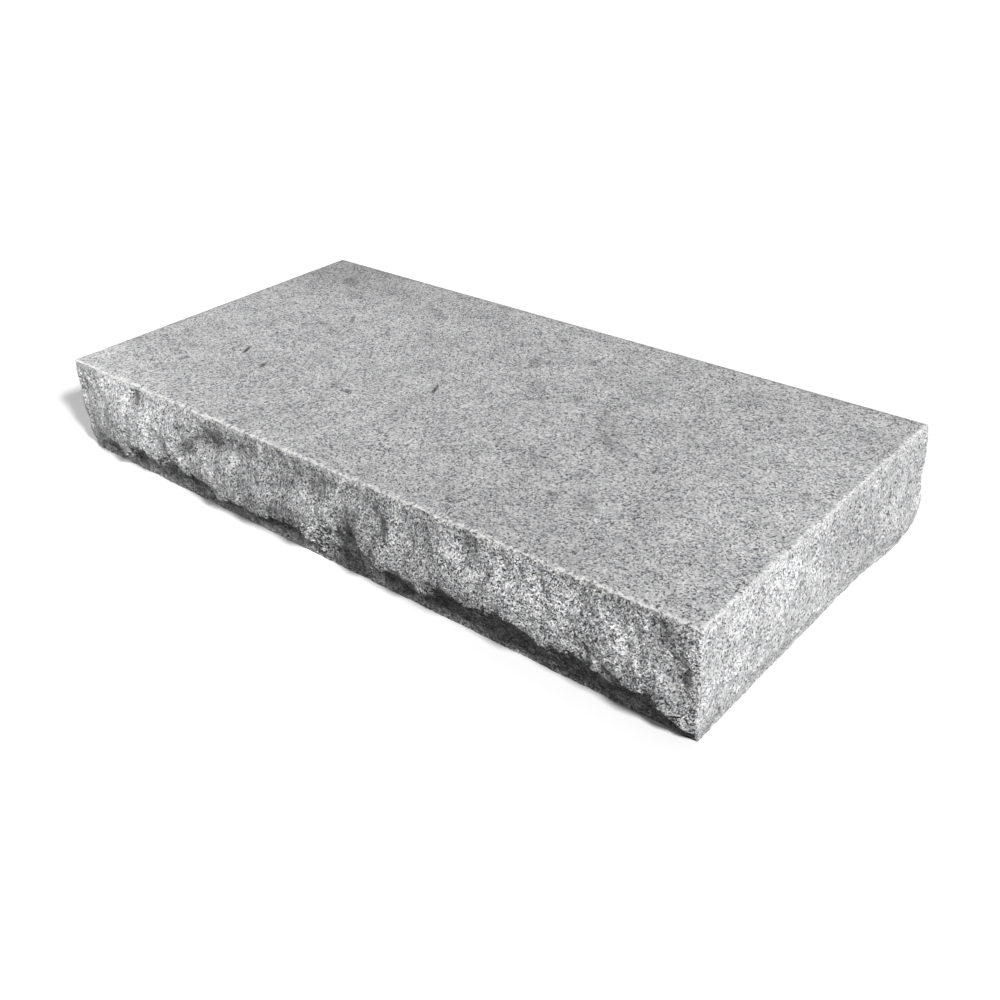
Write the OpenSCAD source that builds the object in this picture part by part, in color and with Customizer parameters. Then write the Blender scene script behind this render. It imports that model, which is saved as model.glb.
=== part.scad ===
// Granite entrance step: one solid stone. The tread, the bed and the back are sawn flat.
// The front and both ends are pitched, which leaves a rock face: it swells outwards below the
// arris, and is knocked back again towards the bed in scoops, with sharp ridges between them.

/* [Block] */
// Length along the front arris
step_length = 1200; // [600:10:2400]
// Depth of the tread from the front arris to the back
step_depth = 600; // [300:10:900]
// Height from the bed to the tread
step_height = 160; // [120:5:240]

/* [Rock face] */
// How far the front stands proud of its arris
front_bulge = 28; // [4:1:34]
// How far each end stands proud of its arris
end_bulge = 11; // [4:1:20]
// How far the front's lower edge stands proud of its arris
front_foot = -2; // [-8:1:8]
// How far the right end's lower edge stands proud of its arris
right_foot = 3; // [-8:1:8]
// How far the left end's lower edge stands proud of its arris
left_foot = -4; // [-8:1:8]
// Height of the crest, where a face stands furthest out, as a share of the step's height
crest_share = 0.42; // [0.3:0.01:0.6]
// Share of the bulge that the front loses towards its left edge
left_loss = 0.86; // [0:0.02:1]
// How far from the left edge that loss begins
left_shoulder = 120; // [30:5:200]
// Share of the bulge that the front loses towards its right edge
right_loss = 0.5; // [0:0.02:1]
// How far from the right edge that loss begins
right_shoulder = 50; // [30:5:200]
// How far the arrises and lower edges wander to either side of their lines
wander = 0.6; // [0:0.1:3]
// Depth of the margins along the arris and the lower edge, where chips fade out
margin_height = 14; // [8:1:30]

/* [Chips] */
// Half the width of the widest small chip
chip_size = 34; // [20:1:50]
// Depth of the deepest small chip
chip_depth = 4.2; // [0:0.1:8]
// Stone face that each small chip has to itself, in square millimetres
chip_area = 1150; // [600:50:4000]

/* [Facets] */
// Width of a facet along a face
facet_width = 10.5; // [9:0.5:40]
// Height of a facet up a face
facet_height = 10.7; // [9:0.1:40]
// How far a facet's corners stray from an even grid, as a share of its size
facet_stray = 0.27; // [0:0.01:0.35]
// How far a facet's corners stand in or out at random, which roughens the face
facet_relief = 1.3; // [0:0.1:3]

/* [Hidden] */

// Stone left on behind the back, which the saw takes off
spare = 7;

// How the stone falls from the arris to the crest: below 1, steeply at first and then ever less
fall_power = 0.7;
// How the stone falls in again from a scoop's rim to the lower edge: above 1, steeply at first
scoop_power = 1.6;
// How far the scooped band would stand out at its rims, as a share of the bulge
scoop_lip = 1.25;
// Share of the scooped band's relief that the shoulders leave alone
scoop_hold = 0.3;
// Lowest height at which a scoop's rim may lie
least_rim = 26;

// The entries of a mark: its place along a face and up it, as shares of the face's length and
// height, half its width, half its height, its tilt in degrees, and its amount. A hollow takes
// that share of the relief away, and a swell adds that share of the bulge.
at_along = 0;
at_height = 1;
half_width = 2;
half_height = 3;
tilt = 4;
amount = 5;

front_hollows = [
    [0.133, 0.87, 30, 13, 45, 1.25],
    [0.190, 0.62, 44, 34, 60, 0.40],
    [0.250, 0.56, 44, 34, -40, 0.40],
    [0.292, 0.80, 56, 30, 24, 1.00],
    [0.355, 0.84, 66, 28, 10, 0.90],
    [0.425, 0.88, 80, 30, 4, 0.82],
    [0.440, 0.66, 50, 18, 20, 0.50],
    [0.485, 0.80, 60, 30, 30, 0.76],
    [0.475, 0.74, 24, 12, 45, 0.90],
    [0.560, 0.86, 70, 32, 28, 0.72],
    [0.585, 0.62, 40, 14, 40, 0.50],
    [0.645, 0.88, 60, 36, 35, 0.54],
    [0.715, 0.88, 34, 30, 40, 0.80],
    [0.870, 0.90, 40, 20, 20, 0.40],
    [0.920, 0.90, 50, 30, 0, 0.50],
    [0.950, 0.88, 36, 22, -50, 0.60],
    [0.972, 0.62, 34, 20, -48, 0.42],
];
front_swells = [
    [0.160, 0.70, 130, 60, 10, 0.35],
    [0.420, 0.50, 120, 36, 8, 0.20],
    [0.800, 0.66, 160, 70, 8, 0.20],
];
right_hollows = [
    [0.130, 0.52, 60, 22, 30, 0.30],
    [0.560, 0.34, 84, 40, -34, 0.45],
    [0.760, 0.74, 70, 34, -24, 0.35],
    [1.000, 0.46, 70, 70, 0, 0.35],
];
right_swells = [
    [0.250, 0.60, 160, 80, -20, 0.35],
    [0.860, 0.06, 120, 90, 0, 0.75],
];
left_hollows = [
    [0.290, 0.62, 90, 42, -30, 0.70],
    [0.640, 0.30, 80, 44, 24, 0.70],
    [0.760, 0.80, 60, 30, -12, 0.50],
    [1.000, 0.30, 70, 110, 0, 1.10],
];
left_swells = [
    [0.220, 0.45, 110, 60, 0, 0.50],
    [0.700, 0.60, 110, 60, 10, 0.45],
];

// Each scoop struck up from the lower edge: its place along the face, as a share of the face's
// length, half its width, and how high its rim reaches above the bed
front_scoops = [
    [0.020, 70, 66], [0.085, 44, 60], [0.150, 50, 72], [0.212, 50, 86], [0.262, 70, 74],
    [0.350, 90, 50], [0.435, 80, 66], [0.528, 66, 118], [0.615, 76, 68], [0.690, 60, 82],
    [0.770, 90, 90], [0.855, 80, 76], [0.922, 84, 66],
];
right_scoops = [
    [0.060, 70, 30], [0.240, 120, 38], [0.480, 110, 30], [0.720, 120, 42], [0.940, 90, 34],
];
left_scoops = [
    [0.070, 80, 60], [0.250, 90, 44], [0.430, 84, 72], [0.620, 90, 46], [0.790, 80, 66],
    [0.950, 70, 54],
];
rim_height = 2;

// The entries of a pitched face: its start, its direction, its outward normal, its length, its
// bulge, how far its lower edge stands out, where its random numbers start, its marks and
// scoops, the shares of the bulge it loses at its near and far upright edges, and how rough its
// chips are
start = 0;
along = 1;
outward = 2;
span = 3;
bulge = 4;
foot = 5;
seed = 6;
hollows = 7;
swells = 8;
scoops = 9;
near_loss = 10;
far_loss = 11;
roughness = 12;
faces = [
    [[-step_length / 2, step_depth / 2 + spare], [0, -1], [-1, 0], step_depth + spare,
        end_bulge, left_foot, 31, left_hollows, left_swells, left_scoops, 0.3, 0.3, 0.9],
    [[-step_length / 2, -step_depth / 2], [1, 0], [0, -1], step_length,
        front_bulge, front_foot, 7, front_hollows, front_swells, front_scoops, left_loss,
        right_loss, 1],
    [[step_length / 2, -step_depth / 2], [0, 1], [1, 0], step_depth + spare,
        end_bulge, right_foot, 53, right_hollows, right_swells, right_scoops, 0, 0, 0.5],
];

rows = round(step_height / facet_height);
row_height = step_height / rows;

// A value that eases from 0 to 1 as x goes from 0 to 1
function ease(x) = let(t = max(0, min(1, x))) t * t * (3 - 2 * t);

// The squared distance of a point from a mark's middle, where 1 is its rim
function reach(f, m, s, z) =
    let(ds = s - m[at_along] * f[span], dz = z - m[at_height] * step_height,
        c = cos(m[tilt]), n = sin(m[tilt]))
    pow((ds * c + dz * n) / m[half_width], 2) + pow((dz * c - ds * n) / m[half_height], 2);

// The deepest hollow at a point: where two hollows meet, a ridge is left between them
function hollow(f, marks, s, z) = max([0, for (m = marks) m[amount] * (1 - reach(f, m, s, z))]);

// The swells at a point, each a smooth mound
function sum(list, i = 0) = i < len(list) ? list[i] + sum(list, i + 1) : 0;
function swell(f, s, z) = sum([0, for (m = f[swells]) m[amount] * ease(1 - sqrt(reach(f, m, s, z)))]);

// Small chips scattered evenly over a face by their own random numbers
function chips(f) =
    let(n = round(f[span] * step_height / chip_area), r = rands(0, 1, 6 * n, f[seed]))
    [for (i = [0:n - 1])
        let(size = chip_size * (0.4 + 0.6 * r[6 * i + 2]))
        [(i + r[6 * i]) / n, 1.1 * r[6 * i + 1] - 0.05, size, size * (0.35 + 0.35 * r[6 * i + 3]),
            60 * r[6 * i + 4] + 5, chip_depth * f[roughness] * (0.3 + 0.7 * r[6 * i + 5])]];
chip_marks = [for (f = faces) chips(f)];

// Long slanting waves along a face, which keep the bulge from running straight
function wave(f, s, z) =
    0.05 * sin(1.1 * s - 0.8 * z + 40 * f[seed]) + 0.04 * sin(2.3 * s - 2.9 * z + 11 * f[seed])
    + 0.03 * sin(2.7 * s + 4.6 * z);

// The share of the bulge left at a place along a face
function shoulder(f, s) =
    1 - max(f[near_loss] * (1 - ease(s / left_shoulder)),
        f[far_loss] * (1 - ease((f[span] - s) / right_shoulder)));

// How far down a point is from the arris to the crest: 0 at the arris, 1 at and below the crest
function down(z) = min(1, (1 - z / step_height) / (1 - crest_share));

// The face as it falls from the arris to the crest, with its hollows
function fall(f, s, z) =
    f[bulge] * shoulder(f, s) * pow(down(z), fall_power)
        * (1 + wave(f, s, z) - hollow(f, f[hollows], s, z));

// How high the scoops' rims reach at a place along a face
function rim(f, s) =
    max([least_rim, for (m = f[scoops])
        let(x = (s - m[at_along] * f[span]) / m[1])
        abs(x) < 1 ? m[rim_height] * sqrt(1 - x * x) : 0]);

// The scooped band: it rises from the lower edge, and curls outwards to its rim
function undercut(f, s, z) =
    f[foot] + (scoop_lip * f[bulge] - f[foot]) * pow(z / rim(f, s), scoop_power)
        * (scoop_hold + (1 - scoop_hold) * shoulder(f, s));

// The short wander of an arris
function stray_line(f, s) = 0.6 * sin(s * 3.7 + f[seed]) + 0.4 * sin(s * 11.3 + f[seed] * 3);

// How far the stone stands out of the arris plane of face number i
function relief(i, s, height) =
    let(f = faces[i], z = max(0, min(step_height, height)),
        free = ease((step_height - z) / margin_height) * ease(z / margin_height))
    min(fall(f, s, z), undercut(f, s, z)) + f[bulge] * swell(f, s, z) * down(z)
        - hollow(f, chip_marks[i], s, z) * free + wander * stray_line(f, s);

// Columns of facet corners in order round the stone: face number, share along it, at an end
function columns_on(i) = max(4, round(faces[i][span] / facet_width));
columns = [
    for (i = [0:2]) for (c = [0:columns_on(i) - (i < 2 ? 1 : 0)])
        [i, c / columns_on(i), c == 0 || c == columns_on(i)]
];
stray = rands(-1, 1, 3 * len(columns) * (rows + 2), 19);

// A facet corner. At a stone's upright edge it takes the relief of both faces that meet there.
function corner(c, k) =
    let(i = columns[c][0], f = faces[i], j = 3 * (c * (rows + 2) + k),
        z = row_height * (k - 0.5 + facet_stray * stray[j]),
        share = columns[c][1] + (columns[c][2] ? 0 : facet_stray * stray[j + 1] / columns_on(i)),
        s = share * f[span],
        before = i > 0 ? relief(i - 1, faces[i - 1][span], z) : 0,
        after = i < 2 ? relief(i + 1, 0, z) : 0,
        sideways = after * share - before * (1 - share),
        jut = k > 1 && k < rows ? facet_relief * f[roughness] * stray[j + 2] : 0,
        plan = f[start] + f[along] * (s + sideways) + f[outward] * (relief(i, s, z) + jut))
    [plan.x, plan.y, z];

// The stone as pitched all round, before its tread, bed and back are sawn flat
module pitched_block() {
    n = len(columns);
    top = rows + 1;
    corners = [for (k = [0:top]) for (c = [0:n - 1]) corner(c, k)];
    caps = [[0, 0, -row_height / 2], [0, 0, step_height + row_height / 2]];
    skin = [for (k = [0:top - 1]) for (c = [0:n - 1])
        let(a = k * n + c, b = k * n + (c + 1) % n, d = a + n, e = b + n,
            rising = norm(corners[a] - corners[e]) < norm(corners[b] - corners[d]))
        each rising ? [[a, d, e], [a, e, b]] : [[a, d, b], [b, d, e]]];
    bed = [for (c = [0:n - 1]) [len(corners), c, (c + 1) % n]];
    tread = [for (c = [0:n - 1]) [len(corners) + 1, top * n + (c + 1) % n, top * n + c]];
    polyhedron(points = concat(corners, caps), faces = concat(skin, bed, tread), convexity = 8);
}

module granite_step() {
    side = 2 * max(front_bulge, end_bulge) + 40;
    color("#b3b3b4")
        intersection() {
            pitched_block();
            translate([-step_length / 2 - side, -step_depth / 2 - side, 0])
                cube([step_length + 2 * side, step_depth + side, step_height]);
        }
}

granite_step();
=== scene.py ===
# A granite entrance step: one stone with a flamed tread, a sawn bed and back, and a rock face
# pitched on the front and on both ends.
import math

import bmesh
import bpy
from mathutils import Matrix, Vector, kdtree
from mathutils.geometry import delaunay_2d_cdt


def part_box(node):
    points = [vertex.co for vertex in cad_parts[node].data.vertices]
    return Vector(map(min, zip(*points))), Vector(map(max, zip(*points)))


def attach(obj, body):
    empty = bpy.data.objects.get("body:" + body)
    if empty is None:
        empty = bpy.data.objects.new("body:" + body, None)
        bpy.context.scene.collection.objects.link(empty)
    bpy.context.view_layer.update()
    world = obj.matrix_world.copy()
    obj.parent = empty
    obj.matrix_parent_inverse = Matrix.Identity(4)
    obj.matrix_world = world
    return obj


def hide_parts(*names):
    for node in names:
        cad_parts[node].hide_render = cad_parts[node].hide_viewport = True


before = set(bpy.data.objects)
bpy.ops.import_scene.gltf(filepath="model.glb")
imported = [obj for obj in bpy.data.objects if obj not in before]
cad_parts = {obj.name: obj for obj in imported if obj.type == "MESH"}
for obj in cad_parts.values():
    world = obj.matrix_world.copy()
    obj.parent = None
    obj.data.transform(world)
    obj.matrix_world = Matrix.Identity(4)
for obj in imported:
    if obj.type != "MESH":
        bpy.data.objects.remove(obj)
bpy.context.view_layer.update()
scene = bpy.context.scene
mm = 0.001  # the scene is in metres, and the sizes below are in millimetres
slack = 0.005 * mm  # a point this close to a flat side counts as on it
mergeGap = 0.01 * mm  # corners closer than this are one


def linearColour(hexCode):
    # Turns an sRGB hex code into the linear colour that a shader takes
    channels = [int(hexCode[i:i + 2], 16) / 255 for i in (1, 3, 5)]
    curve = [c / 12.92 if c <= 0.04045 else ((c + 0.055) / 1.055) ** 2.4 for c in channels]
    return (*curve, 1.0)


def addNode(tree, kind, inputs=None, **settings):
    # An input goes by its name or number, and is a socket to link or a plain value
    made = tree.nodes.new(kind)
    for name, value in settings.items():
        setattr(made, name, value)
    for key, value in (inputs or {}).items():
        if isinstance(value, bpy.types.NodeSocket):
            tree.links.new(value, made.inputs[key])
        else:
            made.inputs[key].default_value = value
    return made


def linkObject(name, data):
    made = bpy.data.objects.new(name, data)
    scene.collection.objects.link(made)
    return made


cameraLook = {
    "place": (1.0814, -1.1676, 0.912),  # metres
    "turn": -40.19,  # degrees from looking along +Y, towards -X
    "down": 32.0,  # degrees
    "roll": -1.66,  # degrees
    "lens": 41.08,  # mm
    "sensor": 36,
    "shift": (-0.02, 0.022),  # shares of the sensor's width
}


def makeCamera(look):
    turn, down, roll = (math.radians(look[k]) for k in ("turn", "down", "roll"))
    forward = Vector((math.sin(turn) * math.cos(down), math.cos(turn) * math.cos(down), -math.sin(down)))
    level = Vector((math.cos(turn), -math.sin(turn), 0))
    above = level.cross(forward)
    right = math.cos(roll) * level + math.sin(roll) * above
    up = math.cos(roll) * above - math.sin(roll) * level
    data = bpy.data.cameras.new("camera")
    data.lens = look["lens"]
    data.sensor_width = look["sensor"]
    data.shift_x, data.shift_y = look["shift"]
    data.dof.use_dof = False
    camera = linkObject("camera", data)
    turned = Matrix((right, up, -forward)).transposed().to_4x4()
    camera.matrix_world = Matrix.Translation(look["place"]) @ turned
    scene.camera = camera


makeCamera(cameraLook)
print("camera ready")

studioLook = {
    "floorSize": 60.0,  # metres
    "floorSeen": "#ffffff",  # what the camera sees of it
    "floorBounce": "#262626",  # what the floor sends back up at the stone
    "keyTurn": -16,  # degrees round from +X towards +Y
    "keyHeight": 32,  # degrees above level
    "keyPower": 5.0,  # watts on each square metre
    "keySpread": 8,  # degrees, so that its shadows are a little soft
    "fillTurn": 160,  # a weak light from behind on the left
    "fillHeight": 12,
    "fillPower": 0.7,
    "fillSpread": 40,
    "cornerPlace": (-1.0, -0.85, 0.45),  # metres
    "cornerTarget": (-0.35, -0.2, 0.1),
    "cornerPower": 3.6,  # watts
    "cornerSize": 0.3,  # metres
    "skyTop": 0.20,  # how bright the sky is overhead
    "skyEdge": 0.03,  # and at the horizon
    "skyFull": 0.8,  # how high the full brightness begins, as the sine of its angle
}


def seenRays(tree):
    # 1 for what the camera sees straight, mirrored or through glass, else 0
    path = addNode(tree, "ShaderNodeLightPath").outputs
    mirrored = addNode(tree, "ShaderNodeMath", {
        0: path["Is Camera Ray"], 1: path["Is Glossy Ray"]}, operation="MAXIMUM")
    return addNode(tree, "ShaderNodeMath", {
        0: mirrored.outputs[0], 1: path["Is Transmission Ray"]}, operation="MAXIMUM").outputs[0]


def makeFloor(look):
    # White to the camera, but dark to the stone, which a white floor would light from below
    half = look["floorSize"] / 2
    corners = [(-half, -half, 0), (half, -half, 0), (half, half, 0), (-half, half, 0)]
    data = bpy.data.meshes.new("studio_floor")
    data.from_pydata(corners, [], [(0, 1, 2, 3)])
    floor = linkObject("studio_floor", data)
    paint = bpy.data.materials.new("floorPaint")
    paint.use_nodes = True
    tree = paint.node_tree
    tree.nodes.clear()
    bounce = addNode(tree, "ShaderNodeBsdfDiffuse", {"Color": linearColour(look["floorBounce"])})
    seen = addNode(tree, "ShaderNodeBsdfDiffuse", {"Color": linearColour(look["floorSeen"])})
    mix = addNode(tree, "ShaderNodeMixShader", {0: seenRays(tree), 1: bounce.outputs[0], 2: seen.outputs[0]})
    addNode(tree, "ShaderNodeOutputMaterial", {"Surface": mix.outputs[0]})
    data.materials.append(paint)


def makeSun(name, look):
    turn, height, spread = (math.radians(look[name + part]) for part in ("Turn", "Height", "Spread"))
    towards = Vector((math.cos(turn) * math.cos(height), math.sin(turn) * math.cos(height), math.sin(height)))
    data = bpy.data.lights.new(name + "Lamp", "SUN")
    data.energy = look[name + "Power"]
    data.angle = spread
    lamp = linkObject(name + "Lamp", data)
    lamp.rotation_euler = towards.to_track_quat("Z", "Y").to_euler()


def makeCornerLamp(look):
    # A weak lamp low down beyond the front's left end, which lifts that end and its undercut
    data = bpy.data.lights.new("cornerLamp", "AREA")
    data.energy = look["cornerPower"]
    data.size = look["cornerSize"]
    lamp = linkObject("cornerLamp", data)
    lamp.location = look["cornerPlace"]
    towards = Vector(look["cornerPlace"]) - Vector(look["cornerTarget"])
    lamp.rotation_euler = towards.to_track_quat("Z", "Y").to_euler()


def makeWorld(look):
    # White to the camera, and to the stone a weak sky that is brightest overhead
    world = bpy.data.worlds.new("studio")
    scene.world = world
    world.use_nodes = True
    tree = world.node_tree
    tree.nodes.clear()
    coords = addNode(tree, "ShaderNodeTexCoord")
    height = addNode(tree, "ShaderNodeSeparateXYZ", {0: coords.outputs["Generated"]})
    level = addNode(tree, "ShaderNodeMapRange", {
        "Value": height.outputs["Z"], "From Min": 0.0, "From Max": look["skyFull"],
        "To Min": look["skyEdge"], "To Max": look["skyTop"]})
    sky = addNode(tree, "ShaderNodeBackground", {"Color": (1, 1, 1, 1), "Strength": level.outputs[0]})
    white = addNode(tree, "ShaderNodeBackground", {"Color": (1, 1, 1, 1), "Strength": 1.0})
    mix = addNode(tree, "ShaderNodeMixShader", {0: seenRays(tree), 1: sky.outputs[0], 2: white.outputs[0]})
    addNode(tree, "ShaderNodeOutputWorld", {"Surface": mix.outputs[0]})


makeFloor(studioLook)
makeSun("key", studioLook)
makeSun("fill", studioLook)
makeCornerLamp(studioLook)
makeWorld(studioLook)
scene.view_settings.view_transform = "Standard"
print("studio ready")

noiseSpan = {"From Min": 0.3, "From Max": 0.7}  # nearly all of a noise's values lie between these
middleGrey = (0.5, 0.5, 0.5)  # the middle of a texture's colours, which are used as directions

graniteLook = {
    "crystal": 2.5,  # mm, most of the feldspar and quartz
    "waviness": 1.6,  # the length of the waves in the crystals' edges, in crystals
    "flake": 1.55,  # mm, the biotite
    "cluster": 14,  # mm, how far apart the biotite gathers
    "cloud": 50,  # mm, faint patches of lighter and darker stone
    "biotite": "#525255",
    "darkQuartz": "#85868a",
    "quartz": "#a3a4a6",
    "feldspar": "#bebebe",
    "paleFeldspar": "#d2d1cf",
    # Where each mineral begins, when all the crystals are counted through from 0 to 1
    "starts": {"biotite": 0.0, "darkQuartz": 0.05, "quartz": 0.16, "feldspar": 0.45, "paleFeldspar": 0.86},
    "flakeShare": 0.12,  # the share of the stone that is flakes
    "clusterPull": 0.7,  # how strongly they gather
    "cloudDepth": 0.13,  # how much lighter and darker the clouds are
}


def graniteGrain(tree, look, finish):
    # Medium-grained grey granite: pale feldspar, grey quartz and black biotite. Gives the place on
    # the stone, the colour there, and the way each small crystal leans.
    place = addNode(tree, "ShaderNodeTexCoord").outputs["Object"]
    warp = addNode(tree, "ShaderNodeTexNoise", {
        "Vector": place, "Scale": 1 / (look["waviness"] * look["crystal"] * mm), "Detail": 2.0,
        "Roughness": 0.6})
    bend = addNode(tree, "ShaderNodeVectorMath", {
        0: warp.outputs["Color"], 1: middleGrey}, operation="SUBTRACT")
    bent = addNode(tree, "ShaderNodeVectorMath", {
        0: bend.outputs[0], 1: (look["crystal"] * mm,) * 3, 2: place}, operation="MULTIPLY_ADD").outputs[0]
    crystals = addNode(tree, "ShaderNodeTexVoronoi", {"Vector": bent, "Scale": 1 / (look["crystal"] * mm)})
    kind = addNode(tree, "ShaderNodeSeparateColor", {0: crystals.outputs["Color"]})
    minerals = addNode(tree, "ShaderNodeValToRGB", {0: kind.outputs[0]})
    ramp = minerals.color_ramp
    ramp.interpolation = "CONSTANT"
    starts = look["starts"]
    for start in list(starts.values())[2:]:  # a new ramp has two colours already
        ramp.elements.new(start)
    for element, mineral in zip(ramp.elements, starts):
        element.position = starts[mineral]
        element.color = linearColour(look[mineral])
    # Biotite flakes, which gather in loose clusters
    flakes = addNode(tree, "ShaderNodeTexVoronoi", {"Vector": bent, "Scale": 1 / (look["flake"] * mm)})
    flakeKind = addNode(tree, "ShaderNodeSeparateColor", {0: flakes.outputs["Color"]})
    gather = addNode(tree, "ShaderNodeTexNoise", {
        "Vector": place, "Scale": 1 / (look["cluster"] * mm), "Detail": 3.0, "Roughness": 0.6})
    share = addNode(tree, "ShaderNodeMapRange", {
        "Value": gather.outputs[0], **noiseSpan,
        "To Min": look["flakeShare"] * (0.5 - look["clusterPull"]),
        "To Max": look["flakeShare"] * (1.5 + look["clusterPull"])})
    isFlake = addNode(tree, "ShaderNodeMath", {
        0: flakeKind.outputs[1], 1: share.outputs[0]}, operation="LESS_THAN")
    flecked = addNode(tree, "ShaderNodeMath", {
        0: isFlake.outputs[0], 1: finish["fleck"]}, operation="MULTIPLY")
    speckled = addNode(tree, "ShaderNodeMix", {  # 6 and 7 are the two colours
        "Factor": flecked.outputs[0], 6: minerals.outputs[0], 7: linearColour(look["biotite"])},
        data_type="RGBA")
    # Clouds of slightly lighter and darker stone
    clouds = addNode(tree, "ShaderNodeTexNoise", {
        "Vector": place, "Scale": 1 / (look["cloud"] * mm), "Detail": 4.0, "Roughness": 0.6})
    tone = addNode(tree, "ShaderNodeMapRange", {
        "Value": clouds.outputs[0], **noiseSpan,
        "To Min": 1 - look["cloudDepth"], "To Max": 1 + look["cloudDepth"]})
    paled = addNode(tree, "ShaderNodeMath", {0: tone.outputs[0], 1: finish["pale"]}, operation="MULTIPLY")
    toned = addNode(tree, "ShaderNodeVectorMath", {
        0: speckled.outputs[2], "Scale": paled.outputs[0]}, operation="SCALE")
    lean = addNode(tree, "ShaderNodeVectorMath", {
        0: flakes.outputs["Color"], 1: middleGrey}, operation="SUBTRACT")
    return place, toned.outputs[0], lean.outputs[0]


# Patches where the stone is painted darker or paler. On the front and the end they are mostly painted shade
# and painted light: the shade and light of hollows and swells that the geometry doesn't carry, and paler
# patches that lift the shaded undercut. On the tread the broad patches are painted sheen and painted shade,
# and the small ones are dark marks in the stone. Each patch is a soft oval: its middle along and up or across
# its side, half its length, half its width, its turn anticlockwise, and how much darker it is. A share below
# 0 is paler. In mm and degrees.
paintedShadeAndToneLook = {
    # Painted shade and painted light of the rock face's hollows and swells, and paler patches that lift its
    # shaded undercut
    "front": [
        (106, 145, 50, 18, 0, -0.18), (50, 92, 56, 66, 0, -0.08), (220, 116, 62, 32, 0, -0.13),
        (170, 139, 17, 12, 45, 0.24), (296, 96, 36, 14, 34, 0.18), (338, 118, 52, 20, 25, 0.22),
        (392, 130, 60, 18, 4, 0.15), (356, 149, 30, 9, 20, 0.10), (464, 128, 44, 16, 10, 0.08),
        (536, 124, 54, 16, 10, 0.14), (578, 122, 22, 9, 42, 0.16), (535, 78, 58, 24, 8, 0.20),
        (304, 58, 38, 18, 0, 0.16), (160, 18, 44, 16, 0, -0.28), (480, 16, 104, 20, 0, -0.46),
        (480, 92, 90, 40, 0, 0.06), (684, 80, 46, 30, -38, 0.16), (656, 98, 34, 17, -20, 0.26),
        (664, 48, 28, 34, 30, -0.24), (697, 18, 38, 16, 0, -0.34), (868, 143, 28, 11, 30, 0.12),
        (853, 70, 78, 14, 2, 0.28), (945, 112, 140, 40, 0, -0.10), (1097, 106, 50, 36, 0, -0.05),
        (1115, 16, 44, 14, 0, -0.28), (1150, 140, 22, 14, -50, 0.16), (1171, 96, 38, 13, -42, 0.16),
        (1174, 66, 30, 26, 0, 0.12), (1196, 118, 10, 40, 0, -0.16),
    ],
    # Painted shade and painted light across the right end
    "end": [
        (208, 125, 28, 20, 0, -0.10), (270, 90, 52, 10, -35, -0.06), (386, 86, 62, 30, -10, 0.05),
        (450, 95, 190, 100, 0, 0.06), (26, 24, 30, 18, 0, 0.08), (142, 104, 150, 80, 0, -0.01),
    ],
    # The broad patches are painted sheen and painted shade across the tread, the small ones dark marks in the
    # stone
    "tread": [
        (20, 590, 190, 170, 0, 0.13), (260, 570, 260, 90, 0, 0.04), (50, 10, 260, 110, 0, -0.05),
        (1160, 300, 130, 340, 0, -0.06), (900, 40, 260, 80, 0, 0.03), (110, 525, 26, 16, -30, 0.10),
        (165, 481, 46, 9, -5, 0.08), (350, 505, 42, 10, -25, 0.12), (435, 395, 42, 22, -45, 0.05),
        (600, 540, 36, 9, -35, 0.10), (622, 440, 24, 12, -60, 0.16), (690, 365, 38, 10, -45, 0.09),
        (757, 375, 14, 16, 0, 0.08), (845, 325, 76, 20, -50, 0.10), (890, 285, 50, 12, -10, 0.09),
        (815, 190, 62, 22, -10, 0.08), (950, 135, 28, 14, -60, 0.13), (735, 205, 60, 12, -5, 0.05),
        (835, 435, 30, 8, -5, 0.08), (105, 152, 26, 9, 25, 0.12), (140, 72, 22, 10, 15, 0.10),
        (333, 78, 12, 9, 0, 0.12), (218, 350, 17, 7, -20, 0.12),
    ],
    "pits": [  # dents in the tread, painted darker as well: painted shade in them
        (199, 200, 15, 3.8, -64, 0.60), (271, 176, 10, 3.4, -64, 0.42), (452, 189, 9, 7, 0, 0.36),
        (558, 274, 17, 4, -62, 0.50), (552, 301, 12, 6, -20, 0.22), (247, 396, 18, 4.5, -55, 0.28),
        (140, 115, 8, 12, 0, 0.22), (1028, 496, 10, 6, -30, 0.24), (893, 133, 12, 6, 0, 0.22),
    ],
    "reach": 60,  # how far in front of and behind its side a patch fades out
    "core": 0.35,  # a patch fades from this share of its half size
    "rim": 1.25,  # to this one
    "fray": 26,  # the size of the frays that break up a patch's rim
    "frayDepth": 16,
    "pitDepth": 1.6,  # the deepest of the pits
}


def patchSides(low, high):
    # Each side's nearest lower corner, and the ways along and across it
    rightWay, backWay, upWay = Vector((1, 0, 0)), Vector((0, 1, 0)), Vector((0, 0, 1))
    return {
        "front": (Vector((low.x, low.y, 0)), rightWay, upWay),
        "end": (Vector((high.x, low.y, 0)), backWay, upWay),
        "tread": (Vector((low.x, low.y, high.z)), rightWay, backWay),
    }


def treadBox(node):
    # The lowest and highest corners of the tread's outline
    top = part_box("granite_step")[1].z
    rim = [v.co for v in node.data.vertices if v.co.z > top - slack]
    return [Vector([pick(p[i] for p in rim) for i in range(3)]) for pick in (min, max)]


stoneSides = patchSides(*treadBox(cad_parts["granite_step"]))


def patchFrame(corner, along, across, patch, reach):
    # Where a patch lies: its middle, the way it is turned and its half sizes, in metres
    farAlong, farAcross, length, width, turn = patch[:5]
    tilt = math.radians(turn)
    first = math.cos(tilt) * along + math.sin(tilt) * across
    second = math.cos(tilt) * across - math.sin(tilt) * along
    turned = Matrix((first, second, first.cross(second))).transposed()
    middle = corner + (farAlong * along + farAcross * across) * mm
    return middle, turned, Vector((length, width, reach)) * mm


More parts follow.
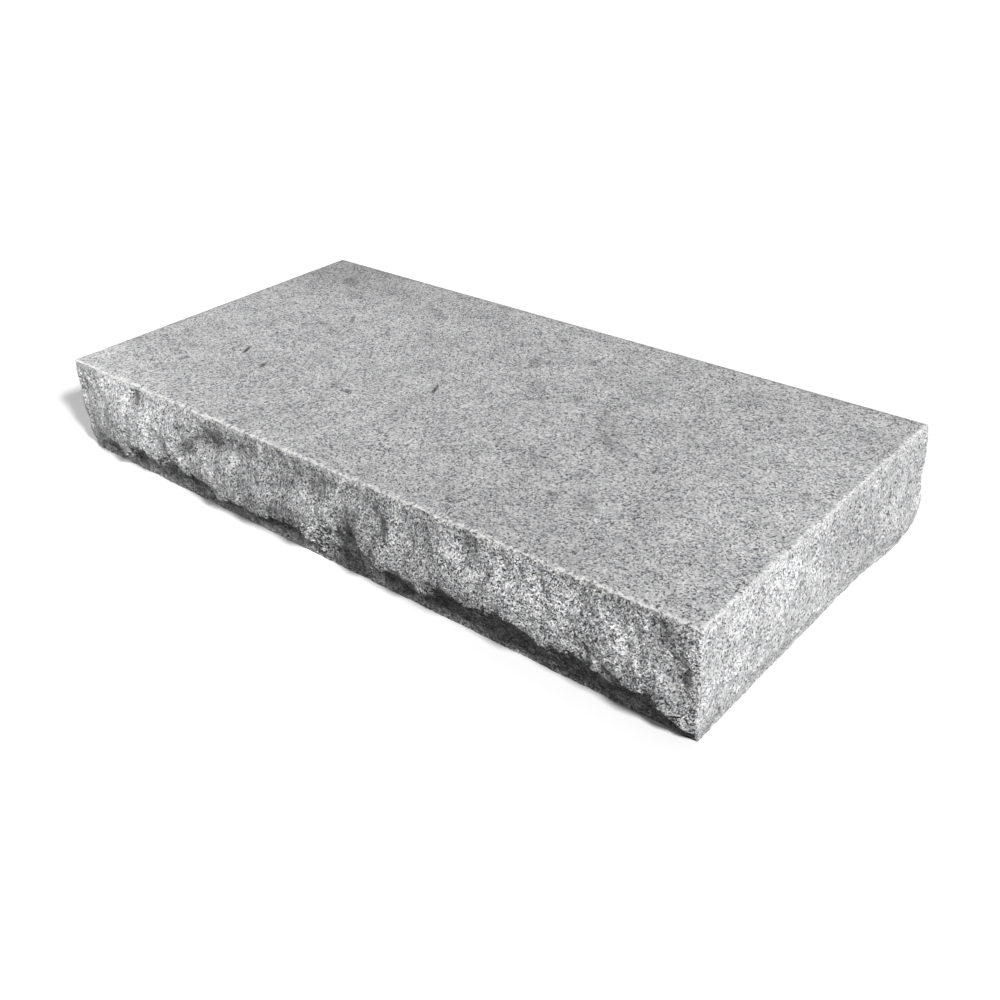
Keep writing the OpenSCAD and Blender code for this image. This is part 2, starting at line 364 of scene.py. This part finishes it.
def paintShadeAndTone(tree, place, colour, look, groups):
    # Paints the stone darker or paler in the patches of some sides, with frayed rims: painted shade and
    # painted light, dark marks in the stone, and painted shade in the pits
    fray = addNode(tree, "ShaderNodeTexNoise", {
        "Vector": place, "Scale": 1 / (look["fray"] * mm), "Detail": 3.0, "Roughness": 0.6})
    centred = addNode(tree, "ShaderNodeVectorMath", {
        0: fray.outputs["Color"], 1: middleGrey}, operation="SUBTRACT")
    frayed = addNode(tree, "ShaderNodeVectorMath", {
        0: centred.outputs[0], 1: (look["frayDepth"] * mm,) * 3, 2: place}, operation="MULTIPLY_ADD")
    brightness = 1.0
    for group, side in groups:
        bent = place if group == "pits" else frayed.outputs[0]
        for patch in look[group]:
            middle, turned, sizes = patchFrame(*stoneSides[side], patch, look["reach"])
            local = addNode(tree, "ShaderNodeMapping", {
                "Vector": bent, "Location": middle, "Rotation": turned.to_euler(),
                "Scale": sizes}, vector_type="TEXTURE")
            away = addNode(tree, "ShaderNodeVectorMath", {0: local.outputs[0]}, operation="LENGTH")
            loss = addNode(tree, "ShaderNodeMapRange", {
                "Value": away.outputs["Value"], "From Min": look["core"], "From Max": look["rim"],
                "To Min": patch[-1], "To Max": 0.0}, interpolation_type="SMOOTHSTEP")
            brightness = addNode(tree, "ShaderNodeMath", {
                0: brightness, 1: loss.outputs[0]}, operation="SUBTRACT").outputs[0]
    # The shares are of brightness as the eye sees it, and a colour here is linear
    linear = addNode(tree, "ShaderNodeMath", {0: brightness, 1: 2.2}, operation="POWER").outputs[0]
    return addNode(tree, "ShaderNodeVectorMath", {0: colour, "Scale": linear}, operation="SCALE").outputs[0]


bruiseAndHighlightLook = {
    "colour": "#dededc",
    "share": 0.9,  # how fully the pale line, crushed stone with a painted highlight, hides the crystals' own colour
    "most": 12.0,  # mm, how far it reaches from the arris at the most
    "least": -3.6,  # and at the least: below 0 the line breaks off
    "ragged": 6,  # mm, the size of the steps in its edge
    "raggedSpan": (0.35, 0.65),  # the noise's values that give the least and the most
    "fade": (-1.0, 4.0),  # mm inside its edge, from where it begins to where it is full
}


def paintBruiseAndHighlight(tree, place, colour, look):
    # Crushed crystals are white, so the arris the chisel was set along shows as a thin pale line. The line
    # also paints the highlight that the rounded arris catches from both sides.
    gap = addNode(tree, "ShaderNodeAttribute", attribute_name="arrisGap")
    ragged = addNode(tree, "ShaderNodeTexNoise", {
        "Vector": place, "Scale": 1 / (look["ragged"] * mm), "Detail": 3.0, "Roughness": 0.7})
    reach = addNode(tree, "ShaderNodeMapRange", {
        "Value": ragged.outputs[0], "From Min": look["raggedSpan"][0], "From Max": look["raggedSpan"][1],
        "To Min": look["least"] * mm, "To Max": look["most"] * mm})
    near = addNode(tree, "ShaderNodeMath", {
        0: reach.outputs[0], 1: gap.outputs["Fac"]}, operation="SUBTRACT")
    share = addNode(tree, "ShaderNodeMapRange", {
        "Value": near.outputs[0], "From Min": look["fade"][0] * mm, "From Max": look["fade"][1] * mm,
        "To Min": 0.0, "To Max": look["share"]})
    struck = addNode(tree, "ShaderNodeAttribute", attribute_name="struck")
    blow = addNode(tree, "ShaderNodeMath", {
        0: share.outputs[0], 1: struck.outputs["Fac"]}, operation="MULTIPLY")
    return addNode(tree, "ShaderNodeMix", {
        "Factor": blow.outputs[0], 6: colour, 7: linearColour(look["colour"])}, data_type="RGBA").outputs[2]


def newGranite(name):
    made = bpy.data.materials.new(name)
    made.use_nodes = True
    made.node_tree.nodes.clear()
    return made, made.node_tree


def finishGranite(tree, colour, lean, look, height, distance):
    # Each crystal breaks or is cut on a plane of its own, so it leans a little off the surface
    normal = addNode(tree, "ShaderNodeNewGeometry").outputs["Normal"]
    leaning = addNode(tree, "ShaderNodeVectorMath", {
        0: lean, 1: (look["lean"],) * 3, 2: normal}, operation="MULTIPLY_ADD")
    facet = addNode(tree, "ShaderNodeVectorMath", {0: leaning.outputs[0]}, operation="NORMALIZE")
    bump = addNode(tree, "ShaderNodeBump", {
        "Height": height, "Strength": look["bump"], "Distance": distance * mm, "Normal": facet.outputs[0]})
    shader = addNode(tree, "ShaderNodeBsdfPrincipled", {
        "Base Color": colour, "Normal": bump.outputs[0], "Roughness": look["roughness"],
        "Specular IOR Level": look["specular"], "IOR": 1.5})
    addNode(tree, "ShaderNodeOutputMaterial", {"Surface": shader.outputs[0]})


flamedLook = {
    "fleck": 1.0,  # how plainly the biotite shows
    "pale": 0.96,  # brightness beside the granite's own
    "lean": 0.2,  # how far crystals lean off the surface
    "roughness": 0.82,
    "specular": 0.3,
    "pit": 5.0,  # mm between the spalls the flame leaves
    "pitHeight": 0.5,  # mm
    "bump": 0.6,  # how much of that height shows
}


def flamedGranite(look):
    # Granite, flamed: the heat pops crystals off, so it is matt, even and finely pitted
    made, tree = newGranite("graniteFlamed")
    place, colour, lean = graniteGrain(tree, graniteLook, look)
    pits = addNode(tree, "ShaderNodeTexNoise", {
        "Vector": place, "Scale": 1 / (look["pit"] * mm), "Detail": 4.0, "Roughness": 0.65})
    # Painted sheen and shade on the tread, its dark marks, and painted shade in its pits
    colour = paintShadeAndTone(tree, place, colour, paintedShadeAndToneLook, (("tread", "tread"), ("pits", "tread")))
    # The pale arris line: white crushed crystals, with a painted highlight
    colour = paintBruiseAndHighlight(tree, place, colour, bruiseAndHighlightLook)
    finishGranite(tree, colour, lean, look, pits.outputs[0], look["pitHeight"])
    return made


# The keys without a note here and below are those of the flamed granite
rockFaceLook = {
    "fleck": 0.95,
    "pale": 1.16,  # freshly broken granite is paler
    "lean": 1.0,
    "roughness": 0.95,
    "specular": 0.08,
    "grit": 2.4,  # mm, broken crystals
    "gritHeight": 0.8,  # mm
    "bump": 1.0,
    "endLean": 0.72,  # the ends' lean beside the front's
    "frontSpan": (-0.2, -0.6),  # the normal's Y from where a face begins to count as the front's
    "downSpan": (0.0, -0.3),  # and its Z from where the front begins to turn down
    "shard": 3.8,  # mm, the coarser crystals where the front turns down
    "shardLean": 1.0,  # how much further they lean
    "paintedShade": 0.5,  # how bright the darkest of them is painted: painted shade
    "proud": 1.8,  # and the brightest: painted glints of light
}


def breakFront(tree, place, colour, lean, look):
    # The front was pitched hardest, so its crystals lean further than the ends'. Where it turns down it broke
    # coarser still, and there the crystals' colour is painted darker and brighter at random: painted shade on
    # some, and painted glints of light on others in the shaded undercut.
    normal = addNode(tree, "ShaderNodeNewGeometry").outputs["Normal"]
    facing = addNode(tree, "ShaderNodeSeparateXYZ", {0: normal}).outputs
    fore, down = (addNode(tree, "ShaderNodeMapRange", {
        "Value": facing[axis], "From Min": look[span][0], "From Max": look[span][1]}).outputs[0]
        for axis, span in (("Y", "frontSpan"), ("Z", "downSpan")))
    turningDown = addNode(tree, "ShaderNodeMath", {0: fore, 1: down}, operation="MULTIPLY").outputs[0]
    shards = addNode(tree, "ShaderNodeTexVoronoi", {
        "Vector": place, "Scale": 1 / (look["shard"] * mm)}).outputs["Color"]
    shardLean = addNode(tree, "ShaderNodeVectorMath", {0: shards, 1: middleGrey}, operation="SUBTRACT")
    extra = addNode(tree, "ShaderNodeMath", {0: turningDown, 1: look["shardLean"]}, operation="MULTIPLY")
    further = addNode(tree, "ShaderNodeVectorMath", {
        0: shardLean.outputs[0], "Scale": extra.outputs[0]}, operation="SCALE")
    kept = addNode(tree, "ShaderNodeMapRange", {"Value": fore, "To Min": look["endLean"], "To Max": 1.0})
    leant = addNode(tree, "ShaderNodeVectorMath", {0: lean, "Scale": kept.outputs[0]}, operation="SCALE")
    leaning = addNode(tree, "ShaderNodeVectorMath", {
        0: leant.outputs[0], 1: further.outputs[0]}, operation="ADD")
    # Painted shade and painted glints: where the front turns down, each crystal's colour is scaled darker and
    # brighter at random
    chance = addNode(tree, "ShaderNodeSeparateColor", {0: shards})
    glintsAndShade = addNode(tree, "ShaderNodeMapRange", {
        "Value": chance.outputs[0], "To Min": look["paintedShade"], "To Max": look["proud"]})
    share = addNode(tree, "ShaderNodeMix", {  # 2 and 3 are the two values
        0: turningDown, 2: 1.0, 3: glintsAndShade.outputs[0]}, data_type="FLOAT")
    shaded = addNode(tree, "ShaderNodeVectorMath", {0: colour, "Scale": share.outputs[0]}, operation="SCALE")
    return shaded.outputs[0], leaning.outputs[0]


def rockFaceGranite(look):
    # Granite, pitched to a rock face: broken crystals without a shine, which lean every way, so
    # that some catch the light and the next ones don't
    made, tree = newGranite("graniteRockFace")
    place, colour, lean = graniteGrain(tree, graniteLook, look)
    grit = addNode(tree, "ShaderNodeTexNoise", {
        "Vector": place, "Scale": 1 / (look["grit"] * mm), "Detail": 3.0, "Roughness": 0.6})
    colour, lean = breakFront(tree, place, colour, lean, look)
    # Painted shade and painted light on the front and the end
    colour = paintShadeAndTone(tree, place, colour, paintedShadeAndToneLook, (("front", "front"), ("end", "end")))
    # The pale arris line: white crushed crystals, with a painted highlight
    colour = paintBruiseAndHighlight(tree, place, colour, bruiseAndHighlightLook)
    finishGranite(tree, colour, lean, look, grit.outputs[0], look["gritHeight"])
    return made


sawnLook = {
    "fleck": 1.0,
    "pale": 0.95,
    "lean": 0.05,
    "roughness": 0.6,
    "specular": 0.4,
    "stroke": 3.2,  # mm between the marks of the saw
    "strokeHeight": 0.08,  # mm
    "bladeRadius": 1400,  # mm
    "bump": 0.5,
}


def sawnGranite(look):
    # Granite, diamond sawn: flat and close, with the faint arcs of the blade
    made, tree = newGranite("graniteSawn")
    place, colour, lean = graniteGrain(tree, graniteLook, look)
    centred = addNode(tree, "ShaderNodeMapping", {
        "Vector": place, "Location": (0, 0, look["bladeRadius"] * mm)})
    arcs = addNode(tree, "ShaderNodeTexWave", {
        "Vector": centred.outputs[0], "Scale": 1 / (math.tau * look["stroke"] * mm), "Distortion": 1.5,
        "Detail": 2.0, "Detail Scale": 2.0}, wave_type="RINGS", rings_direction="SPHERICAL")
    finishGranite(tree, colour, lean, look, arcs.outputs["Fac"], look["strokeHeight"])
    return made


graniteFlamed = flamedGranite(flamedLook)
graniteRockFace = rockFaceGranite(rockFaceLook)
graniteSawn = sawnGranite(sawnLook)
stoneFinishes = (graniteFlamed, graniteRockFace, graniteSawn)
treadFinish, rockFinish, sawnFinish = range(3)  # their places in that list, and on the stone
print("granite ready")

stoneLook = {
    "rockCuts": 3,  # each CAD facet's edge is cut this often, to about 2.7 mm
    "smoothing": 1,  # how often the cut rock face is smoothed
    "treadMesh": 5.4,  # mm
    "sawnMesh": 45,  # mm, on the bed and the back
    "arrisReach": 14,  # mm, how far from the arris its distance is kept
    "endStruck": 0.3,  # how hard the ends' arrises were struck, beside the front's
    "turnReach": 60,  # mm along an end, from the front's blows to the end's
    "streakSize": 11,  # mm
    "streakDepth": 3.6,  # mm, as all the depths below
    "streakStretch": 2.2,  # how much longer than wide
    "streakTilt": 35,  # degrees up from level
    "gritSize": 4.5,  # mm
    "gritDepth": 2.0,
    "pitSize": 14,  # mm
    "pitDepth": 0.7,
    "spallSize": 16,  # mm along the arris
    "spallDepth": 1.6,
    "spallReach": 6,  # mm, how far from the arris the spalls go
    "arrisHold": 0.2,  # the share of the rock face's roughness that is left at the arris
    "seed": 11.0,  # another seed roughens the stone in other places
}


def flatSides(box):
    # Each flat side: a test of a point on it, and the two axes it is drawn in
    low, high = box
    return {
        "tread": (lambda p: p.z > high.z - slack, (0, 1)),
        "bed": (lambda p: p.z < low.z + slack, (1, 0)),
        "back": (lambda p: p.y > high.y - slack, (2, 0)),
    }


def liesOn(part, isOn):
    # Whether all the corners of a face or an edge are on a flat side
    return all(isOn(v.co) for v in part.verts)


def bridge(mesh, start, end, spacing):
    # New points in a straight line between two corners, which both flat sides then share
    count = max(1, round((end.co - start.co).length / spacing))
    line = [mesh.verts.new(start.co.lerp(end.co, i / count)) for i in range(1, count)]
    return [start, *line, end]


def openChain(edges, start):
    # The vertices of an open line of edges, in order from one end
    chain = [start]
    used = set()
    while True:
        step = [e for e in chain[-1].link_edges if e in edges and e not in used]
        if not step:
            return chain
        used.add(step[0])
        chain.append(step[0].other_vert(chain[-1]))


def evenSpots(flat, spacing):
    # Spots of a triangular grid over an outline's box, and none of them close to the outline
    lows = [min(p[i] for p in flat) for i in (0, 1)]
    highs = [max(p[i] for p in flat) for i in (0, 1)]
    rowGap = spacing * math.sqrt(3) / 2
    leastGap = 0.6 * spacing
    outline = kdtree.KDTree(len(flat))
    for i, p in enumerate(flat):
        outline.insert((p.x, p.y, 0), i)
    outline.balance()
    spots = []
    for row in range(int((highs[1] - lows[1]) / rowGap) + 1):
        for column in range(int((highs[0] - lows[0]) / spacing) + 1):
            spot = Vector((lows[0] + (column + 0.5 * (row % 2)) * spacing, lows[1] + (row + 0.5) * rowGap))
            if outline.find((spot.x, spot.y, 0))[2] > leastGap:
                spots.append(spot)
    return spots


def fillSide(mesh, loop, axes, spacing, finish):
    # Fills a flat side with even triangles that meet every point of its outline
    flat = [Vector((v.co[axes[0]], v.co[axes[1]])) for v in loop]
    if sum(a.cross(b) for a, b in zip(flat, flat[1:] + flat[:1])) < 0:
        loop, flat = loop[::-1], flat[::-1]  # the outline has to run anticlockwise
    depthAxis = 3 - axes[0] - axes[1]
    depth = loop[0].co[depthAxis]
    insideOnly, tolerance = 1, 1e-7
    spots, _, faces, fromSpots, _, fromFaces = delaunay_2d_cdt(
        flat + evenSpots(flat, spacing), [], [list(range(len(flat)))], insideOnly, tolerance, True)
    corners = []
    for spot, sources in zip(spots, fromSpots):
        onLoop = [i for i in sources if i < len(loop)]
        if onLoop:
            corners.append(loop[onLoop[0]])
        else:
            point = Vector((0, 0, 0))
            point[axes[0]], point[axes[1]], point[depthAxis] = spot.x, spot.y, depth
            corners.append(mesh.verts.new(point))
    for face, sources in zip(faces, fromFaces):
        if sources:
            made = mesh.faces.new([corners[i] for i in face])
            made.material_index = finish


def fillFlats(mesh, sides, look):
    # Closes the cut rock face with the tread, the bed and the back. Gives the arris.
    rim = {e for e in mesh.edges if e.is_boundary}
    rimPoints = {v for e in rim for v in e.verts}
    onTread, onBed, onBack = (sides[name][0] for name in ("tread", "bed", "back"))
    treadRim, bedRim, backRim = ({e for e in rim if liesOn(e, isOn)} for isOn in (onTread, onBed, onBack))
    topCorners, bedCorners = (
        sorted((v for v in rimPoints if isOn(v.co) and onBack(v.co)), key=lambda v: v.co.x)
        for isOn in (onTread, onBed))
    treadLine = openChain(treadRim, topCorners[0])
    bedLine = openChain(bedRim, bedCorners[0])
    leftLine = openChain(backRim, topCorners[0])
    rightLine = openChain(backRim, topCorners[1])
    treadGap, sawnGap = look["treadMesh"] * mm, look["sawnMesh"] * mm
    topLine = bridge(mesh, topCorners[1], topCorners[0], treadGap)
    bottomLine = bridge(mesh, bedCorners[1], bedCorners[0], sawnGap)
    # The back's outline: along the top to the left, down, along the bottom to the right, and up
    backLoop = topLine[:-1] + leftLine + bottomLine[::-1][1:-1] + rightLine[::-1][:-1]
    fillSide(mesh, treadLine + topLine[1:-1], sides["tread"][1], treadGap, treadFinish)
    fillSide(mesh, bedLine + bottomLine[1:-1], sides["bed"][1], sawnGap, sawnFinish)
    fillSide(mesh, backLoop, sides["back"][1], sawnGap, sawnFinish)
    return [v.co.copy() for v in treadLine]


def refineStone(node, look):
    # A finer copy of the CAD stone: the rock face is cut small, and the flat sides are filled anew
    mesh = bmesh.new()
    mesh.from_mesh(node.data)
    bmesh.ops.remove_doubles(mesh, verts=mesh.verts, dist=mergeGap)
    sides = flatSides(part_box("granite_step"))
    flats = [f for f in mesh.faces if any(liesOn(f, isOn) for isOn, _ in sides.values())]
    bmesh.ops.delete(mesh, geom=flats, context="FACES")
    bmesh.ops.subdivide_edges(mesh, edges=mesh.edges[:], cuts=look["rockCuts"], use_grid_fill=True)
    for face in mesh.faces:
        face.material_index = rockFinish
    inside = [v for v in mesh.verts if not v.is_boundary]
    for _ in range(look["smoothing"]):
        bmesh.ops.smooth_vert(
            mesh, verts=inside, factor=0.5, use_axis_x=True, use_axis_y=True, use_axis_z=True)
    arrisPoints = fillFlats(mesh, sides, look)
    bmesh.ops.recalc_face_normals(mesh, faces=mesh.faces[:])
    openEdges = sum(1 for e in mesh.edges if len(e.link_faces) != 2)
    print("stone refined:", len(mesh.faces), "triangles, open edges:", openEdges)
    return mesh, arrisPoints


def pitAt(point, look):
    # How deep the tread's pits are at a point
    deepest = max(patch[-1] for patch in look["pits"])
    depth = 0.0
    for patch in look["pits"]:
        middle, turned, sizes = patchFrame(*stoneSides["tread"], patch, look["reach"])
        local = turned.transposed() @ (point - middle)
        away = Vector([local[i] / sizes[i] for i in range(3)]).length
        faded = min(1.0, max(0.0, (away - look["core"]) / (look["rim"] - look["core"])))
        depth += look["pitDepth"] * mm * patch[-1] / deepest * (1 - faded * faded * (3 - 2 * faded))
    return depth


def markStone(mesh, arrisPoints, look):
    # Keeps, on each point, whether it is on the rock face or the tread, how far it is from the arris,
    # and how hard the nearest stretch of the arris was struck
    rock, tread, gap, struck = (
        mesh.verts.layers.float.new(name) for name in ("rock", "tread", "arrisGap", "struck"))
    arris = kdtree.KDTree(len(arrisPoints))
    for i, point in enumerate(arrisPoints):
        arris.insert(point, i)
    arris.balance()
    reach = look["arrisReach"] * mm
    front = min(p.y for p in arrisPoints)
    for v in mesh.verts:
        finishes = {f.material_index for f in v.link_faces}
        v[rock] = 1.0 if rockFinish in finishes else 0.0
        v[tread] = 1.0 if finishes == {treadFinish} else 0.0
        nearest, _, away = arris.find(v.co)
        v[gap] = min(reach, away)
        v[struck] = max(look["endStruck"], 1 - (nearest.y - front) / (look["turnReach"] * mm))
        if v[tread]:
            v.co.z -= pitAt(v.co, paintedShadeAndToneLook)
    for face in mesh.faces:
        face.smooth = True


def relief(tree, given, place, name, seedStep, detail, roughness, least=None):
    # A noise about 0 of the named size, times the named depth. Each step of the seed gives another
    # one, and least cuts off what is below it.
    scale = addNode(tree, "ShaderNodeMath", {0: 1.0, 1: given[name + " Size"]}, operation="DIVIDE")
    seed = addNode(tree, "ShaderNodeMath", {0: given["Seed"], 1: seedStep}, operation="ADD")
    noise = addNode(tree, "ShaderNodeTexNoise", {
        "Vector": place, "W": seed.outputs[0], "Scale": scale.outputs[0], "Detail": detail,
        "Roughness": roughness}, noise_dimensions="4D")
    rise = addNode(tree, "ShaderNodeMath", {0: noise.outputs[0], 1: 0.5}, operation="SUBTRACT")
    if least is not None:
        rise = addNode(tree, "ShaderNodeMath", {0: rise.outputs[0], 1: least}, operation="MAXIMUM")
    return addNode(tree, "ShaderNodeMath", {
        0: rise.outputs[0], 1: given[name + " Depth"]}, operation="MULTIPLY").outputs[0]


def stoneRise(tree, given, place):
    # How far each point stands out: streaks and grit on the rock face, pits on the tread, and spalls
    # along the arris
    isRock, isTread, arrisGap = (
        addNode(tree, "GeometryNodeInputNamedAttribute", {"Name": name}, data_type="FLOAT").outputs[0]
        for name in ("rock", "tread", "arrisGap"))
    # The stone is squeezed across the way the streaks run, then turned up
    tilted = addNode(tree, "ShaderNodeVectorRotate", {
        "Vector": place, "Axis": (0, 1, 0), "Angle": given["Streak Tilt"]}, rotation_type="AXIS_ANGLE")
    shorter = addNode(tree, "ShaderNodeMath", {0: 1.0, 1: given["Streak Stretch"]}, operation="DIVIDE")
    squeeze = addNode(tree, "ShaderNodeCombineXYZ", {"X": shorter.outputs[0], "Y": 1.0, "Z": 1.0})
    squeezed = addNode(tree, "ShaderNodeVectorMath", {
        0: tilted.outputs[0], 1: squeeze.outputs[0]}, operation="MULTIPLY").outputs[0]
    streaks = relief(tree, given, squeezed, "Streak", seedStep=0.0, detail=2.0, roughness=0.5)
    grit = relief(tree, given, place, "Grit", seedStep=3.0, detail=2.0, roughness=0.6)
    pits = relief(tree, given, place, "Pit", seedStep=5.0, detail=3.0, roughness=0.65, least=0.0)
    spalls = relief(tree, given, place, "Spall", seedStep=7.0, detail=3.0, roughness=0.6, least=0.0)
    # The rock face is calmer towards the arris, and the spalls are at the arris only
    calm, nearArris = (
        addNode(tree, "ShaderNodeMapRange", {
            "Value": arrisGap, "From Min": 0.0, "From Max": given["Spall Reach"],
            "To Min": atArris, "To Max": further}).outputs[0]
        for atArris, further in ((given["Arris Hold"], 1.0), (1.0, 0.0)))
    pitLoss = addNode(tree, "ShaderNodeMath", {0: pits, 1: isTread}, operation="MULTIPLY").outputs[0]
    spallLoss = addNode(tree, "ShaderNodeMath", {0: spalls, 1: nearArris}, operation="MULTIPLY").outputs[0]
    rise = streaks
    for operation, other in (("ADD", grit), ("MULTIPLY", calm), ("MULTIPLY", isRock),
                             ("SUBTRACT", pitLoss), ("SUBTRACT", spallLoss)):
        rise = addNode(tree, "ShaderNodeMath", {0: rise, 1: other}, operation=operation).outputs[0]
    return rise


def roughenTree():
    # Roughens the refined stone along its normals, within the box of the CAD one
    tree = bpy.data.node_groups.new("roughStone", "GeometryNodeTree")
    wanted = {
        "Geometry": ("Geometry",),
        "Float": ("Streak Size", "Streak Depth", "Streak Stretch", "Streak Tilt", "Grit Size", "Grit Depth",
                  "Pit Size", "Pit Depth", "Spall Size", "Spall Depth", "Spall Reach", "Arris Hold", "Seed"),
        "Vector": ("Lowest", "Highest"),
        "Material": ("Tread", "Rock Face", "Sawn"),
    }
    sockets = {}
    for kind, names in wanted.items():
        for name in names:
            made = tree.interface.new_socket(name, in_out="INPUT", socket_type="NodeSocket" + kind)
            sockets[name] = made.identifier
    tree.interface.new_socket("Geometry", in_out="OUTPUT", socket_type="NodeSocketGeometry")
    given = addNode(tree, "NodeGroupInput").outputs
    place = addNode(tree, "GeometryNodeInputPosition").outputs[0]
    normal = addNode(tree, "GeometryNodeInputNormal").outputs[0]
    offset = addNode(tree, "ShaderNodeVectorMath", {
        0: normal, "Scale": stoneRise(tree, given, place)}, operation="SCALE").outputs[0]
    moved = place
    for operation, other in (("ADD", offset), ("MAXIMUM", given["Lowest"]), ("MINIMUM", given["Highest"])):
        moved = addNode(tree, "ShaderNodeVectorMath", {0: moved, 1: other}, operation=operation).outputs[0]
    shaped = addNode(tree, "GeometryNodeSetPosition", {"Geometry": given["Geometry"], "Position": moved})
    real = addNode(tree, "GeometryNodeRealizeInstances", {"Geometry": shaped.outputs[0]}).outputs[0]
    finish = addNode(tree, "GeometryNodeInputMaterialIndex").outputs[0]
    for number, name in enumerate(wanted["Material"]):
        chosen = addNode(tree, "FunctionNodeCompare", {  # 2 and 3 are the two whole numbers
            2: finish, 3: number}, data_type="INT", operation="EQUAL")
        real = addNode(tree, "GeometryNodeSetMaterial", {
            "Geometry": real, "Selection": chosen.outputs[0], "Material": given[name]}).outputs[0]
    addNode(tree, "NodeGroupOutput", {0: real})
    return tree, sockets


def makeStep(node, look):
    # The finished stone, which is seen in place of the CAD one
    mesh, arrisPoints = refineStone(node, look)
    markStone(mesh, arrisPoints, look)
    data = bpy.data.meshes.new("stone_refined")
    mesh.to_mesh(data)
    mesh.free()
    for finish in stoneFinishes:
        data.materials.append(finish)
    rough = linkObject("stone_refined", data)
    tree, sockets = roughenTree()
    modifier = rough.modifiers.new("roughStone", "NODES")
    modifier.node_group = tree
    low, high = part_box("granite_step")
    values = {
        "Streak Stretch": look["streakStretch"], "Streak Tilt": math.radians(look["streakTilt"]),
        "Spall Reach": look["spallReach"] * mm, "Arris Hold": look["arrisHold"],
        "Seed": look["seed"], "Lowest": low, "Highest": high,
        "Tread": graniteFlamed, "Rock Face": graniteRockFace, "Sawn": graniteSawn,
    }
    for part in ("streak", "grit", "pit", "spall"):
        for measure in ("Size", "Depth"):
            values[part.title() + " " + measure] = look[part + measure] * mm
    for name, value in values.items():
        modifier[sockets[name]] = value
    worked = bpy.data.meshes.new_from_object(rough.evaluated_get(bpy.context.evaluated_depsgraph_get()))
    worked.name = "entrance_step"
    bpy.data.objects.remove(rough)
    bpy.data.meshes.remove(data)
    step = linkObject("entrance_step", worked)
    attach(step, "root")
    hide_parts("granite_step")
    return step


entranceStep = makeStep(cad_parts["granite_step"], stoneLook)
print("stone ready:", len(entranceStep.data.polygons), "faces")
